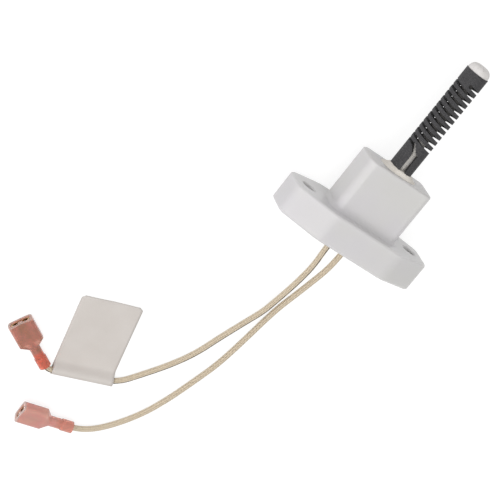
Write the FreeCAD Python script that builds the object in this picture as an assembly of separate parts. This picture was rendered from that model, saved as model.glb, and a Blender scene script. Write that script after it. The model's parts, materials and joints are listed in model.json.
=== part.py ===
import FreeCAD, Part
import math
import os

from FreeCAD import Placement, Rotation, Vector

# Hot surface igniter: a spiral silicon carbide element cemented into a flanged ceramic block,
# with two braided leads, two insulated push-on terminals and a folded label. Millimetres.
# Frame: +Y runs along the element to its tip, +X along the flange, +Z up. The origin is the
# middle of the two screw holes on the seat, the flange face on the tower's side. The igniter
# lies on the long side of its flange, and the leads lie on that same surface.

# Ceramic block
SCREW_SPACING = 50.8
SCREW_HOLE = 5.6
SCREW_MARGIN = 7.1
SCREW_CHAMFER = 0.5
FLANGE_DEPTH = 29.2
FLANGE_THICKNESS = 12.5
FLANGE_STRAIGHT = 32.4
FLANGE_END_WIDTH = 14.0
FLANGE_LONG_CORNER = 12.0
FLANGE_END_CORNER = 4.0
FLANGE_EDGE_ROUND = 1.0
TOWER_WIDTH = 30.6
TOWER_HEIGHT = 23.5
TOWER_CORNER = 3.2
TOWER_TOP_ROUND = 0.9
TOWER_BASE_FILLET = 1.8
POCKET_END_WALL = 7.5
POCKET_SIDE_WALL = 2.2
POCKET_DEPTH = 15.0
REAR_POCKET_WIDTH = 13.6
REAR_POCKET_HEIGHT = 8.4
REAR_POCKET_DEPTH = 6.0
LEAD_SPACING = 6.8
PASSAGE_CLEARANCE = 0.55

# Cement
ELEMENT_BED = 0.75
MOUND_SPREAD = 0.5
MOUND_RISE = 1.8
MOUND_COLLAR = 0.3

# Heating element
ELEMENT_DIAMETER = 9.7
ELEMENT_BORE = 5.9
LEG_GAP = 2.4
LEG_GAP_RISE = 9.1
LEG_GAP_ANGLE = -13.2
TURN_IN_WIDTH = 2.1
TURN_IN_RISE = 3.4
SLOT_START_ANGLE = -50.0
SLOT_WIDTH = 1.05
SLOT_PITCH = 5.1
SLOT_TURNS = 5.9
START_RELIEF = 1.7
END_RELIEF = 1.4
TOP_BAND = 5.1
ROD_CLEARANCE = 0.95
ROD_LIFT = 3.0
CAP_STEP = 0.3
CAP_RISE = 3.3
CAP_ROUND = 2.9
CAP_PLUG = 2.5
PLUG_CLEARANCE = 0.1

# Leg clips and splices, sealed in the cement
CLIP_SHEET = 0.4
CLIP_HEIGHT = 6.0
CLIP_ARC = 100.0
CLIP_TAIL_WIDTH = 1.1
SPLICE_LENGTH = 4.0
SPLICE_WALL = 0.6
SPLICE_FLOOR_GAP = 0.3
FOOT_GAP = 1.2

# Leads. Each route is a list of points (x, y, height above the surface that the igniter lies
# on). A straight piece out of the block comes before it and one into the terminal after it.
LEAD_DIAMETER = 2.4
STRANDS_DIAMETER = 1.2
STRANDS_CLEARANCE = 0.05
ROOT_SETBACK = 2.5
LEAD_STRAIGHT = 5.5
LEAD_APPROACH = 0.9
LEAD_INSERTION = 2.0
ARC_SHARE = 0.45
LEFT_ROUTE = [
    (-2.0, -25.5, 13.0),
    (-1.2, -33.3, 10.2),
    (-0.5, -41.7, 6.6),
    (-0.2, -49.6, 3.2),
    (-0.7, -56.3, 1.55),
    (-3.8, -64.1, 1.25),
    (-8.3, -75.2, 1.25),
    (-12.4, -86.4, 1.25),
    (-18.4, -96.3, 1.25),
    (-25.2, -105.2, 1.35),
    (-31.4, -112.9, 1.45),
    (-39.6, -115.9, 1.55),
    (-47.5, -118.4, 1.65),
    (-53.8, -120.45, 1.75),
    (-57.5, -121.75, 2.1),
]
RIGHT_ROUTE = [
    (3.7, -24.8, 13.0),
    (3.5, -32.6, 10.2),
    (3.3, -41.7, 6.6),
    (3.0, -50.3, 3.2),
    (2.5, -58.3, 1.55),
    (1.5, -66.7, 1.25),
    (0.2, -75.5, 1.25),
    (-1.6, -85.7, 1.25),
    (-4.9, -96.3, 1.25),
    (-8.7, -107.8, 1.25),
    (-13.2, -118.4, 1.25),
    (-18.9, -127.3, 1.25),
    (-24.9, -134.1, 1.45),
    (-30.1, -137.4, 2.3),
]

# Push-on terminals
RECEPTACLE_SHEET = 0.5
RECEPTACLE_WIDTH = 7.6
RECEPTACLE_SETBACK = 0.5
RECEPTACLE_TAPER = 1.0
CURL_OUTER = 1.25
CURL_SWEEP = 235.0
CURL_CLEARANCE = 0.25
TAB_THICKNESS = 0.8
TAB_RIB_WIDTH = 2.0
NECK_STRIP_WIDTH = 2.0
NECK_STRIP_LENGTH = 2.5
BARE_STRANDS = 2.2
CRIMP_WALL = 0.6
SLEEVE_WALL = 0.35
SLEEVE_LENGTH = 4.8
HOUSING_BOX_LENGTH = 10.4
HOUSING_SHOULDER = 2.6
HOUSING_NECK_LENGTH = 5.0
HOUSING_BARREL_LENGTH = 4.8
HOUSING_SHELF = 0.4
SHELF_CLEARANCE = 0.1
HOUSING_SIDE_WALL = 1.0
HOUSING_ROOF = 0.85
HOUSING_CORNER = 1.5
NECK_WALL = 0.5
BARREL_STEP = 0.3
HOUSING_EDGE = 0.35

# Where the terminals lie: wire end, heading from +X, rise towards the mouth, roll
LEFT_TERMINAL = (-61.0, -121.4)
LEFT_HEADING = 150.0
RIGHT_TERMINAL = (-35.9, -139.0)
RIGHT_HEADING = 190.5
RIGHT_RISE = 1.5
RIGHT_ROLL = -22.0

# Folded paper label on the left lead
LABEL_WIDTH = 25.2
LABEL_REACH = 36.0
PAPER = 0.15
LABEL_CORNER = 1.5
LABEL_MIDDLE = (-45.6, -117.75)
LABEL_HEADING = 197.6
LABEL_SKEW = 2.2
LOOP_CLEARANCE = 0.5
LOOP_LENGTH = 4.4

# The block, worked out from the sizes above. Heights are measured from the seat.
OVERSHOOT = 1.0
REST = -FLANGE_DEPTH / 2
EXIT = -FLANGE_THICKNESS
FLANGE_LENGTH = SCREW_SPACING + 2 * SCREW_MARGIN
POCKET_WIDTH = TOWER_WIDTH - 2 * POCKET_END_WALL
POCKET_HEIGHT = ELEMENT_DIAMETER + 2 * ELEMENT_BED
TOWER_DEPTH = POCKET_HEIGHT + 2 * POCKET_SIDE_WALL
POCKET_FLOOR = TOWER_HEIGHT - POCKET_DEPTH
PASSAGE = LEAD_DIAMETER + 2 * PASSAGE_CLEARANCE
ROOT_END = POCKET_FLOOR - ROOT_SETBACK

# The element and its joints to the leads
ELEMENT_RADIUS = ELEMENT_DIAMETER / 2
BORE_RADIUS = ELEMENT_BORE / 2
SPLICE_FOOT = POCKET_FLOOR + SPLICE_FLOOR_GAP
SPLICE_TOP = SPLICE_FOOT + SPLICE_LENGTH
STRANDS_END = SPLICE_FOOT + SPLICE_LENGTH / 2
ELEMENT_FOOT = SPLICE_TOP + FOOT_GAP
LEG_GAP_TOP = TOWER_HEIGHT + LEG_GAP_RISE
SLOT_START = LEG_GAP_TOP + TURN_IN_RISE
SLOT_RISE = SLOT_PITCH * SLOT_TURNS
ELEMENT_TOP = SLOT_START + SLOT_RISE + TOP_BAND
CAP_DIAMETER = ELEMENT_DIAMETER - 2 * CAP_STEP

# The terminals, lengths measured from the wire end towards the mouth
STRANDS_BORE = STRANDS_DIAMETER + 2 * STRANDS_CLEARANCE
CRIMP_OUTER = STRANDS_BORE + 2 * CRIMP_WALL
SLEEVE_OUTER = CRIMP_OUTER + 2 * SLEEVE_WALL
HOUSING_BORE = SLEEVE_OUTER + 2 * STRANDS_CLEARANCE
HOUSING_NECK = HOUSING_BORE + 2 * NECK_WALL
HOUSING_BARREL = HOUSING_NECK + 2 * BARREL_STEP
CAVITY_WIDTH = RECEPTACLE_WIDTH + 2 * CURL_CLEARANCE
CAVITY_HEIGHT = 2 * CURL_OUTER + 2 * CURL_CLEARANCE
HOUSING_WIDTH = CAVITY_WIDTH + 2 * HOUSING_SIDE_WALL
HOUSING_THICKNESS = CAVITY_HEIGHT + 2 * HOUSING_ROOF
NECK_END = HOUSING_BARREL_LENGTH + HOUSING_NECK_LENGTH
BOX_START = NECK_END + HOUSING_SHOULDER
MOUTH = BOX_START + HOUSING_BOX_LENGTH
CAVITY_START = BOX_START + HOUSING_SHELF
TAPER_START = CAVITY_START + SHELF_CLEARANCE
RECEPTACLE_START = TAPER_START + RECEPTACLE_TAPER
RECEPTACLE_END = MOUTH - RECEPTACLE_SETBACK
RECEPTACLE_LENGTH = RECEPTACLE_END - RECEPTACLE_START
SHEET_TOP = RECEPTACLE_SHEET - CURL_OUTER
CRIMP_START = LEAD_INSERTION + BARE_STRANDS
CRIMP_END = TAPER_START - NECK_STRIP_LENGTH

# The label's loop round the lead
LOOP_OUTER = LEAD_DIAMETER / 2 + LOOP_CLEARANCE + PAPER


def box(low, high):
    size = [b - a for a, b in zip(low, high)]
    return Part.makeBox(*size, Vector(*low))


def cylinder(diameter, low, high, x=0.0, y=0.0):
    return Part.makeCylinder(diameter / 2, high - low, Vector(x, y, low))


def ring(outer, inner, low, high, x=0.0, y=0.0):
    return cylinder(outer, low, high, x, y).cut(cylinder(inner, low, high, x, y))


def rounded_outline(corners, radii, level=0.0):
    """A closed wire through the corners, each turned with its own tangent arc."""
    points = [Vector(x, y, level) for x, y in corners]
    arcs = []
    for i, corner in enumerate(points):
        before = (points[i - 1] - corner).normalize()
        after = (points[(i + 1) % len(points)] - corner).normalize()
        half = before.getAngle(after) / 2
        reach = radii[i] / math.tan(half)
        inward = (before + after).normalize()
        middle = corner + inward * (radii[i] / math.sin(half) - radii[i])
        arcs.append(Part.Arc(corner + before * reach, middle, corner + after * reach).toShape())
    edges = []
    for i, arc in enumerate(arcs):
        edges.append(arc)
        start = arc.Vertexes[-1].Point
        end = arcs[(i + 1) % len(arcs)].Vertexes[0].Point
        if start.distanceToPoint(end) > 1e-6:
            edges.append(Part.makeLine(start, end))
    return Part.Wire(edges)


def rounded_rectangle(width, height, radius, level=0.0):
    a, b = width / 2, height / 2
    corners = [(a, b), (-a, b), (-a, -b), (a, -b)]
    return rounded_outline(corners, [radius] * 4, level)


def prism(outline, height):
    return Part.Face(outline).extrude(Vector(0, 0, height))


def obround(width, height, level):
    """A slot-shaped outline, its ends full half circles."""
    return rounded_rectangle(width, height, height / 2, level)


def edges_at(shape, level, half_width, half_depth):
    """Edges that lie at one height, inside a rectangle about the axis."""
    found = []
    for edge in shape.Edges:
        bounds = edge.BoundBox
        flat = abs(bounds.ZMin - level) < 1e-3 and abs(bounds.ZMax - level) < 1e-3
        inside = bounds.XMax < half_width and bounds.YMax < half_depth
        if flat and inside and bounds.XMin > -half_width and bounds.YMin > -half_depth:
            found.append(edge)
    return found


def single(shape):
    solids = shape.Solids
    if len(solids) != 1:
        raise ValueError(f"{len(solids)} solids where one was meant")
    return solids[0]


def stand_up(shape):
    """From the bench frame, where the element points up, to the part's frame."""
    turned = shape.copy()
    turned.rotate(Vector(0, 0, 0), Vector(1, 0, 0), -90)
    return turned


def flange_outline():
    a, b = FLANGE_LENGTH / 2, FLANGE_DEPTH / 2
    s, e = FLANGE_STRAIGHT / 2, FLANGE_END_WIDTH / 2
    quarter = [(s, b), (a, e)]
    corners = quarter + [(x, -y) for x, y in reversed(quarter)]
    corners += [(-x, -y) for x, y in quarter] + [(-x, y) for x, y in reversed(quarter)]
    radii = [FLANGE_LONG_CORNER, FLANGE_END_CORNER, FLANGE_END_CORNER, FLANGE_LONG_CORNER] * 2
    return rounded_outline(corners, radii, -FLANGE_THICKNESS)


def screw_hole(x):
    chamfer = Part.makeCone(
        SCREW_HOLE / 2, SCREW_HOLE / 2 + SCREW_CHAMFER, SCREW_CHAMFER, Vector(x, 0, -SCREW_CHAMFER)
    )
    back = Part.makeCone(
        SCREW_HOLE / 2 + SCREW_CHAMFER, SCREW_HOLE / 2, SCREW_CHAMFER, Vector(x, 0, EXIT)
    )
    return cylinder(SCREW_HOLE, EXIT, 0, x).fuse([chamfer, back])


def ceramic_block():
    flange = prism(flange_outline(), FLANGE_THICKNESS)
    rim = edges_at(flange, 0, FLANGE_LENGTH, FLANGE_DEPTH)
    rim += edges_at(flange, EXIT, FLANGE_LENGTH, FLANGE_DEPTH)
    flange = flange.makeFillet(FLANGE_EDGE_ROUND, rim)
    tower = prism(rounded_rectangle(TOWER_WIDTH, TOWER_DEPTH, TOWER_CORNER, EXIT / 2), TOWER_HEIGHT - EXIT / 2)
    tower = tower.makeFillet(TOWER_TOP_ROUND, edges_at(tower, TOWER_HEIGHT, TOWER_WIDTH, TOWER_DEPTH))
    block = flange.fuse(tower)
    foot = edges_at(block, 0, TOWER_WIDTH / 2 + 0.1, TOWER_DEPTH / 2 + 0.1)
    block = block.makeFillet(TOWER_BASE_FILLET, foot)
    hollows = [screw_hole(side * SCREW_SPACING / 2) for side in (-1, 1)]
    hollows += [front_pocket(), rear_pocket()]
    hollows += [cylinder(PASSAGE, EXIT, POCKET_FLOOR, side * LEAD_SPACING / 2) for side in (-1, 1)]
    return block.cut(hollows)


def front_pocket():
    return prism(obround(POCKET_WIDTH, POCKET_HEIGHT, POCKET_FLOOR), POCKET_DEPTH)


def rear_pocket():
    return prism(obround(REAR_POCKET_WIDTH, REAR_POCKET_HEIGHT, EXIT), REAR_POCKET_DEPTH)


def mound():
    """Cement heaped over the pocket's rim and up against the element."""
    width, height = POCKET_WIDTH + 2 * MOUND_SPREAD, POCKET_HEIGHT + 2 * MOUND_SPREAD
    top = ELEMENT_DIAMETER + 2 * MOUND_COLLAR
    foot = obround(width, height, TOWER_HEIGHT)
    collar = obround(top + MOUND_COLLAR, top, TOWER_HEIGHT + MOUND_RISE)
    return Part.makeLoft([foot, collar], True, True)


def along(angle, radius, height):
    """A point about the element's axis, the angle counted from the upper side towards +X."""
    turn = math.radians(angle - 90)
    return Vector(radius * math.cos(turn), radius * math.sin(turn), height)


def radial_hole(diameter, angle, height):
    return Part.makeCylinder(diameter / 2, ELEMENT_RADIUS + OVERSHOOT, Vector(0, 0, height), along(angle, 1, 0))


def swept_cut(pitch, rise, width, angle, height):
    """A left-handed helical cut through the tube wall, its width measured along the axis."""
    path = Part.makeLongHelix(pitch, rise, ELEMENT_RADIUS, 0, True)
    inner, outer = BORE_RADIUS - OVERSHOOT, ELEMENT_RADIUS + OVERSHOOT
    low, high = -width / 2, width / 2
    corners = [(inner, low), (outer, low), (outer, high), (inner, high), (inner, low)]
    profile = Part.makePolygon([Vector(x, 0, z) for x, z in corners])
    cut = path.makePipeShell([profile], True, True)
    cut.rotate(Vector(0, 0, 0), Vector(0, 0, 1), angle - 90)
    cut.translate(Vector(0, 0, height))
    return cut


def heating_element():
    tube = ring(ELEMENT_DIAMETER, ELEMENT_BORE, ELEMENT_FOOT, ELEMENT_TOP)
    reach = ELEMENT_RADIUS + OVERSHOOT
    gap = box((-reach, -LEG_GAP / 2, ELEMENT_FOOT - OVERSHOOT), (reach, LEG_GAP / 2, LEG_GAP_TOP))
    gap.rotate(Vector(0, 0, 0), Vector(0, 0, 1), LEG_GAP_ANGLE - 90)
    element = tube.cut(gap)
    turn_in = abs(SLOT_START_ANGLE - LEG_GAP_ANGLE)
    steep_pitch = TURN_IN_RISE * 360 / turn_in
    end_angle = SLOT_START_ANGLE - 360 * SLOT_TURNS
    end_height = SLOT_START + SLOT_RISE
    for side in (0, 180):
        element = element.cut(radial_hole(LEG_GAP, LEG_GAP_ANGLE + side, LEG_GAP_TOP))
        element = element.cut(
            swept_cut(steep_pitch, TURN_IN_RISE, TURN_IN_WIDTH, LEG_GAP_ANGLE + side, LEG_GAP_TOP)
        )
        element = element.cut(radial_hole(START_RELIEF, SLOT_START_ANGLE + side, SLOT_START))
        element = element.cut(swept_cut(SLOT_PITCH, SLOT_RISE, SLOT_WIDTH, SLOT_START_ANGLE + side, SLOT_START))
        element = element.cut(radial_hole(END_RELIEF, end_angle + side, end_height))
    return element


def support_rod():
    return cylinder(ELEMENT_BORE - 2 * ROD_CLEARANCE, ELEMENT_FOOT + ROD_LIFT, ELEMENT_TOP - CAP_PLUG)


def tip_cap():
    """A rounded ceramic cap with a plug in the tube's end."""
    cap = cylinder(CAP_DIAMETER, ELEMENT_TOP, ELEMENT_TOP + CAP_RISE)
    cap = cap.makeFillet(CAP_ROUND, edges_at(cap, ELEMENT_TOP + CAP_RISE, CAP_DIAMETER, CAP_DIAMETER))
    return cap.fuse(cylinder(ELEMENT_BORE - 2 * PLUG_CLEARANCE, ELEMENT_TOP - CAP_PLUG, ELEMENT_TOP))


def leg_clip(side):
    """A curved nickel strap on the leg, with a foot under it and a tail into the splice."""
    outer = ELEMENT_RADIUS + CLIP_SHEET
    middle = LEAD_SPACING / 2
    low = ELEMENT_FOOT - CLIP_SHEET
    wedge = Part.makeCylinder(outer, CLIP_HEIGHT + CLIP_SHEET, Vector(0, 0, low), Vector(0, 0, 1), CLIP_ARC)
    wedge.rotate(Vector(0, 0, 0), Vector(0, 0, 1), -CLIP_ARC / 2)
    strap = wedge.cut(cylinder(ELEMENT_DIAMETER, low, ELEMENT_FOOT + CLIP_HEIGHT))
    half = CLIP_TAIL_WIDTH / 2
    inner = middle - CLIP_SHEET / 2
    foot = box((inner, -half, low), (outer, half, ELEMENT_FOOT)).common(cylinder(2 * outer, low, ELEMENT_FOOT))
    tail = box((inner, -half, STRANDS_END), (inner + CLIP_SHEET, half, ELEMENT_FOOT))
    clip = strap.fuse([foot, tail]).removeSplitter()
    if side < 0:
        clip.rotate(Vector(0, 0, 0), Vector(0, 0, 1), 180)
    return clip


def splice(side):
    """The crimp that joins a clip's tail to the lead's strands."""
    outer = STRANDS_BORE + 2 * SPLICE_WALL
    return ring(outer, STRANDS_BORE, SPLICE_FOOT, SPLICE_TOP, side * LEAD_SPACING / 2)


def root(side, diameter, top):
    """The straight stretch of a lead inside the block, down to the rear face."""
    return cylinder(diameter, EXIT, top, side * LEAD_SPACING / 2)


def route_wire(route):
    """Straight runs joined by tangent arcs, each arc as large as its two runs allow."""
    edges = []
    here = route[0]
    for before, corner, after in zip(route, route[1:], route[2:]):
        back = before - corner
        ahead = after - corner
        reach = ARC_SHARE * min(back.Length, ahead.Length)
        turn = math.pi - back.getAngle(ahead)
        radius = reach / math.tan(turn / 2)
        back.normalize()
        ahead.normalize()
        inward = (back + ahead).normalize()
        start, end = corner + back * reach, corner + ahead * reach
        middle = corner + inward * (radius / math.cos(turn / 2) - radius)
        edges.append(Part.LineSegment(here, start).toShape())
        edges.append(Part.Arc(start, middle, end).toShape())
        here = end
    edges.append(Part.LineSegment(here, route[-1]).toShape())
    return Part.Wire(edges)


def route_tube(route, diameter, name):
    wire = route_wire(route)
    direction = (route[1] - route[0]).normalize()
    circle = Part.Wire(Part.makeCircle(diameter / 2, route[0], direction))
    tube = wire.makePipeShell([circle], True, False)
    section = math.pi * diameter**2 / 4
    ratio = round(tube.Volume / (section * wire.Length), 4)
    print(name, diameter, "length", round(wire.Length, 2), "volume ratio", ratio)
    return tube


def strands(side, route, place, name):
    """The bare conductor, one bundle from the splice in the block to the crimp in the terminal."""
    inside = stand_up(root(side, STRANDS_DIAMETER, STRANDS_END))
    crimped = placed(cylinder(STRANDS_DIAMETER, LEAD_INSERTION, CRIMP_END - CRIMP_WALL), place)
    return inside.fuse([route_tube(route, STRANDS_DIAMETER, name), crimped]).removeSplitter()


def lead(side, route, name):
    """The braided sleeve, one piece from inside the block to the terminal's barrel."""
    sleeve = stand_up(root(side, LEAD_DIAMETER, ROOT_END)).fuse(route_tube(route, LEAD_DIAMETER, name))
    hollow = stand_up(root(side, STRANDS_BORE, ROOT_END)).fuse(route_tube(route, STRANDS_BORE, name))
    return sleeve.removeSplitter().cut(hollow.removeSplitter())


def placed(shape, place):
    """A copy of a shape, moved from the bench to its place."""
    moved = shape.copy()
    moved.Placement = place * moved.Placement
    return moved


def terminal_place(wire_end, height, heading, rise=0.0, roll=0.0):
    """From the bench frame, mouth up, to where the terminal lies."""
    origin = Vector(wire_end[0], wire_end[1], height)
    lay_down = Placement(Vector(0, 0, 0), Rotation(Vector(1, 1, 1), 120))
    return Placement(origin, Rotation(heading, -rise, roll)) * lay_down


def left_place():
    return terminal_place(LEFT_TERMINAL, REST + HOUSING_BARREL / 2, LEFT_HEADING)


def right_place():
    """The housing leans on one edge, so its axis is higher than the barrel needs."""
    roll = math.radians(abs(RIGHT_ROLL))
    across = (HOUSING_WIDTH / 2 - HOUSING_CORNER) * math.sin(roll)
    down = (HOUSING_THICKNESS / 2 - HOUSING_CORNER) * math.cos(roll)
    height = REST + across + down + HOUSING_CORNER - BOX_START * math.sin(math.radians(RIGHT_RISE))
    return terminal_place(RIGHT_TERMINAL, height, RIGHT_HEADING, RIGHT_RISE, RIGHT_ROLL)


def lead_route(side, points, place):
    """The whole route: out of the block, through the chosen points, into the terminal's barrel."""
    x = side * LEAD_SPACING / 2
    start = [Vector(x, EXIT, 0), Vector(x, EXIT - LEAD_STRAIGHT, 0)]
    middle = [Vector(px, py, REST + height) for px, py, height in points]
    end = [place.multVec(Vector(0, 0, at)) for at in (-LEAD_APPROACH, LEAD_INSERTION)]
    return start + middle + end


def housing():
    shell = prism(rounded_rectangle(HOUSING_WIDTH, HOUSING_THICKNESS, HOUSING_CORNER, BOX_START), HOUSING_BOX_LENGTH)
    shell = shell.makeFillet(HOUSING_EDGE, edges_at(shell, MOUTH, HOUSING_WIDTH, HOUSING_WIDTH))
    neck_corner = 0.98 * HOUSING_NECK / 2
    neck_section = [HOUSING_NECK, HOUSING_NECK, neck_corner]
    box_section = [HOUSING_WIDTH, HOUSING_THICKNESS, HOUSING_CORNER]
    shoulder = Part.makeLoft(
        [rounded_rectangle(*neck_section, NECK_END), rounded_rectangle(*box_section, BOX_START)], True, True
    )
    neck_foot = HOUSING_BARREL_LENGTH / 2
    neck = prism(rounded_rectangle(*neck_section, neck_foot), NECK_END - neck_foot)
    barrel = cylinder(HOUSING_BARREL, 0, HOUSING_BARREL_LENGTH)
    barrel = barrel.makeFillet(HOUSING_EDGE, edges_at(barrel, HOUSING_BARREL_LENGTH, HOUSING_BARREL, HOUSING_BARREL))
    shell = shell.fuse([shoulder, neck, barrel])
    return shell.cut([housing_cavity(), cylinder(HOUSING_BORE, 0, CAVITY_START)])


def housing_cavity():
    """Room for the receptacle, with a rib from the roof between its two curls."""
    half, top = CAVITY_WIDTH / 2, CAVITY_HEIGHT / 2
    cavity = box((-half, -top, CAVITY_START), (half, top, MOUTH))
    rib_low = SHEET_TOP + TAB_THICKNESS + CURL_CLEARANCE
    rib = box((-TAB_RIB_WIDTH / 2, rib_low, RECEPTACLE_START), (TAB_RIB_WIDTH / 2, top, MOUTH))
    return cavity.cut(rib)


def curl(side):
    """One rolled edge, a part ring standing on the sheet, open towards the middle."""
    start = -90 if side > 0 else 270 - CURL_SWEEP
    roll = Part.makeCylinder(
        CURL_OUTER, RECEPTACLE_LENGTH, Vector(0, 0, RECEPTACLE_START), Vector(0, 0, 1), CURL_SWEEP
    )
    roll.rotate(Vector(0, 0, 0), Vector(0, 0, 1), start)
    roll = roll.cut(cylinder(-2 * SHEET_TOP, RECEPTACLE_START, RECEPTACLE_END))
    roll.translate(Vector(side * (RECEPTACLE_WIDTH / 2 - CURL_OUTER), 0, 0))
    return roll


def receptacle():
    """Folded brass: flat floor, two curls that grip the tab, a neck and a rolled crimp barrel."""
    flat, half = RECEPTACLE_WIDTH / 2 - CURL_OUTER, NECK_STRIP_WIDTH / 2
    sheet = box((-flat, -CURL_OUTER, RECEPTACLE_START), (flat, SHEET_TOP, RECEPTACLE_END))
    corners = [(-flat, RECEPTACLE_START), (flat, RECEPTACLE_START), (half, TAPER_START), (-half, TAPER_START)]
    outline = Part.makePolygon([Vector(x, -CURL_OUTER, z) for x, z in corners + corners[:1]])
    taper = Part.Face(outline).extrude(Vector(0, RECEPTACLE_SHEET, 0))
    strip = box((-half, -CURL_OUTER, CRIMP_END), (half, SHEET_TOP, TAPER_START))
    barrel = ring(CRIMP_OUTER, STRANDS_BORE, CRIMP_START, CRIMP_END)
    landing = box((-half, -CURL_OUTER, CRIMP_END - CRIMP_WALL), (half, SHEET_TOP, CRIMP_END))
    landing = landing.cut(cylinder(STRANDS_BORE, CRIMP_START, CRIMP_END))
    return barrel.fuse([sheet, taper, strip, landing, curl(-1), curl(1)]).removeSplitter()


def crimp_sleeve():
    middle = (CRIMP_START + CRIMP_END) / 2
    return ring(SLEEVE_OUTER, CRIMP_OUTER, middle - SLEEVE_LENGTH / 2, middle + SLEEVE_LENGTH / 2)


def loop_prism(radius):
    """A teardrop seen along the lead: round at the fold, closing to a line at the two layers."""
    close = Vector(0, LOOP_LENGTH - LOOP_OUTER, PAPER - LOOP_OUTER) * (radius / LOOP_OUTER)
    lean = math.atan2(close.z, close.y)
    open_angle = math.acos(radius / close.Length)
    angles = [lean + open_angle, lean + math.pi, lean - open_angle]
    top, far, bottom = [Vector(0, radius * math.cos(a), radius * math.sin(a)) for a in angles]
    edges = [Part.Arc(top, far, bottom).toShape(), Part.makeLine(bottom, close), Part.makeLine(close, top)]
    prism_shape = Part.Face(Part.Wire(edges)).extrude(Vector(LABEL_WIDTH, 0, 0))
    prism_shape.translate(Vector(-LABEL_WIDTH / 2, 0, 0))
    return prism_shape


def lead_label():
    """A paper flag folded round the lead and stuck to itself, its free end down on the surface."""
    half = LABEL_WIDTH / 2
    start, end = LOOP_LENGTH - LOOP_OUTER - 2 * PAPER, LABEL_REACH - LOOP_OUTER
    corners = [(-half, start), (half, start), (half + LABEL_SKEW, end), (-half + LABEL_SKEW, end)]
    radii = [PAPER, PAPER, LABEL_CORNER, LABEL_CORNER]
    flag = prism(rounded_outline(corners, radii, -LOOP_OUTER), 2 * PAPER)
    label = loop_prism(LOOP_OUTER).fuse(flag).cut(loop_prism(LOOP_OUTER - PAPER))
    label.Placement = Placement(Vector(*LABEL_MIDDLE, REST + LOOP_OUTER), Rotation(LABEL_HEADING - 180, 0, 0))
    return label


def build():
    pieces = {
        "heating_element": stand_up(heating_element()),
        "support_rod": stand_up(support_rod()),
        "tip_cap": stand_up(tip_cap()),
        "ceramic_block": stand_up(ceramic_block()),
    }
    leads = {
        "left": (-1, LEFT_ROUTE, left_place()),
        "right": (1, RIGHT_ROUTE, right_place()),
    }
    embedded = [pieces["heating_element"], pieces["support_rod"]]
    for name, (side, points, place) in leads.items():
        route = lead_route(side, points, place)
        pieces[f"{name}_leg_clip"] = stand_up(leg_clip(side))
        pieces[f"{name}_splice"] = stand_up(splice(side))
        pieces[f"{name}_strands"] = strands(side, route, place, name)
        pieces[f"{name}_lead"] = lead(side, route, name)
        pieces[f"{name}_receptacle"] = placed(receptacle(), place)
        pieces[f"{name}_crimp_sleeve"] = placed(crimp_sleeve(), place)
        pieces[f"{name}_terminal_housing"] = placed(housing(), place)
        embedded += [pieces[f"{name}_leg_clip"], pieces[f"{name}_splice"]]
        embedded.append(stand_up(root(side, LEAD_DIAMETER, ROOT_END)))
        embedded.append(stand_up(root(side, STRANDS_BORE, STRANDS_END)))
    pieces["front_cement"] = stand_up(front_pocket().fuse(mound())).cut(embedded)
    pieces["rear_cement"] = stand_up(rear_pocket()).cut(embedded)
    pieces["lead_label"] = lead_label()
    return pieces


os.makedirs("parts", exist_ok=True)
for node, shape in sorted(build().items()):
    solid = single(shape)
    if not solid.isValid():
        raise ValueError(f"{node} isn't a valid solid")
    solid.exportStep(f"parts/{node}.step")
    print(node, round(solid.Volume, 1))
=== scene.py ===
# %% [markdown]
# # A hot surface igniter
# A gas furnace lights its burners with this part. Current heats a spiral tube of silicon
# carbide until it glows. The tube stands in a ceramic block, and two braided leads carry the
# current to it from insulated push-on terminals. The exact shapes come from the imported CAD
# model, and this lesson gives them their surfaces: pressed ceramic, poured cement, fired
# silicon carbide, woven glass fibre, translucent nylon, brass and paper.
#
# The frame is loaded first, because every piece takes its place from it. The box of the CAD
# model is kept and printed, and the floor is set at its bottom.

# %% Load the frame
import json
import math

import bmesh
import bpy
from mathutils import Matrix, Vector, noise

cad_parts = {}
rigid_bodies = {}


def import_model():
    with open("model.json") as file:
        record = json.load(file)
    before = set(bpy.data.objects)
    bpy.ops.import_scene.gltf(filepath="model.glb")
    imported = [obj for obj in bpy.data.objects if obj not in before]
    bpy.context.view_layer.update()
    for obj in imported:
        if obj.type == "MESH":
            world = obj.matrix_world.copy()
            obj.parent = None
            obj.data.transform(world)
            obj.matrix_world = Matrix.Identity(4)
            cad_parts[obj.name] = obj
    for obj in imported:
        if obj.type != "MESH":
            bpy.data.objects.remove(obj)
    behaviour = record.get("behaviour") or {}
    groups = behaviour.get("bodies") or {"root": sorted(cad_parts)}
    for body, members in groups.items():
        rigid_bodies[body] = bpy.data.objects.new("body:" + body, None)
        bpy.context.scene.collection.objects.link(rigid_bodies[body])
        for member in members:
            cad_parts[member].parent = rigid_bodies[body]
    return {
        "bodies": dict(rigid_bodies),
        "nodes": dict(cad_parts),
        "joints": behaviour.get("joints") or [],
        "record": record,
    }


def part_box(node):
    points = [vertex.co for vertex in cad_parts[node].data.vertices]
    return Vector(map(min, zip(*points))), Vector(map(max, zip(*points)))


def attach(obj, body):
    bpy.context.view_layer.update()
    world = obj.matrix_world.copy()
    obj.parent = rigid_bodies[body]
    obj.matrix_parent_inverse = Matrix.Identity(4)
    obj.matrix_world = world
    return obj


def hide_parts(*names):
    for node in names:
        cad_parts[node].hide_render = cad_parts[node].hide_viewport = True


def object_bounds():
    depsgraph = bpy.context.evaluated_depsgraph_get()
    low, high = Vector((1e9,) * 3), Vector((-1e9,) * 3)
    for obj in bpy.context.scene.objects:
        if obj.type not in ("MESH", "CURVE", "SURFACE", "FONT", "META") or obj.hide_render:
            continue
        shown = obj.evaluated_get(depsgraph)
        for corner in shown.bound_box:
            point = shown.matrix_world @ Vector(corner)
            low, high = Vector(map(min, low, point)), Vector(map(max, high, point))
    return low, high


MM = 0.001
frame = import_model()
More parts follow.
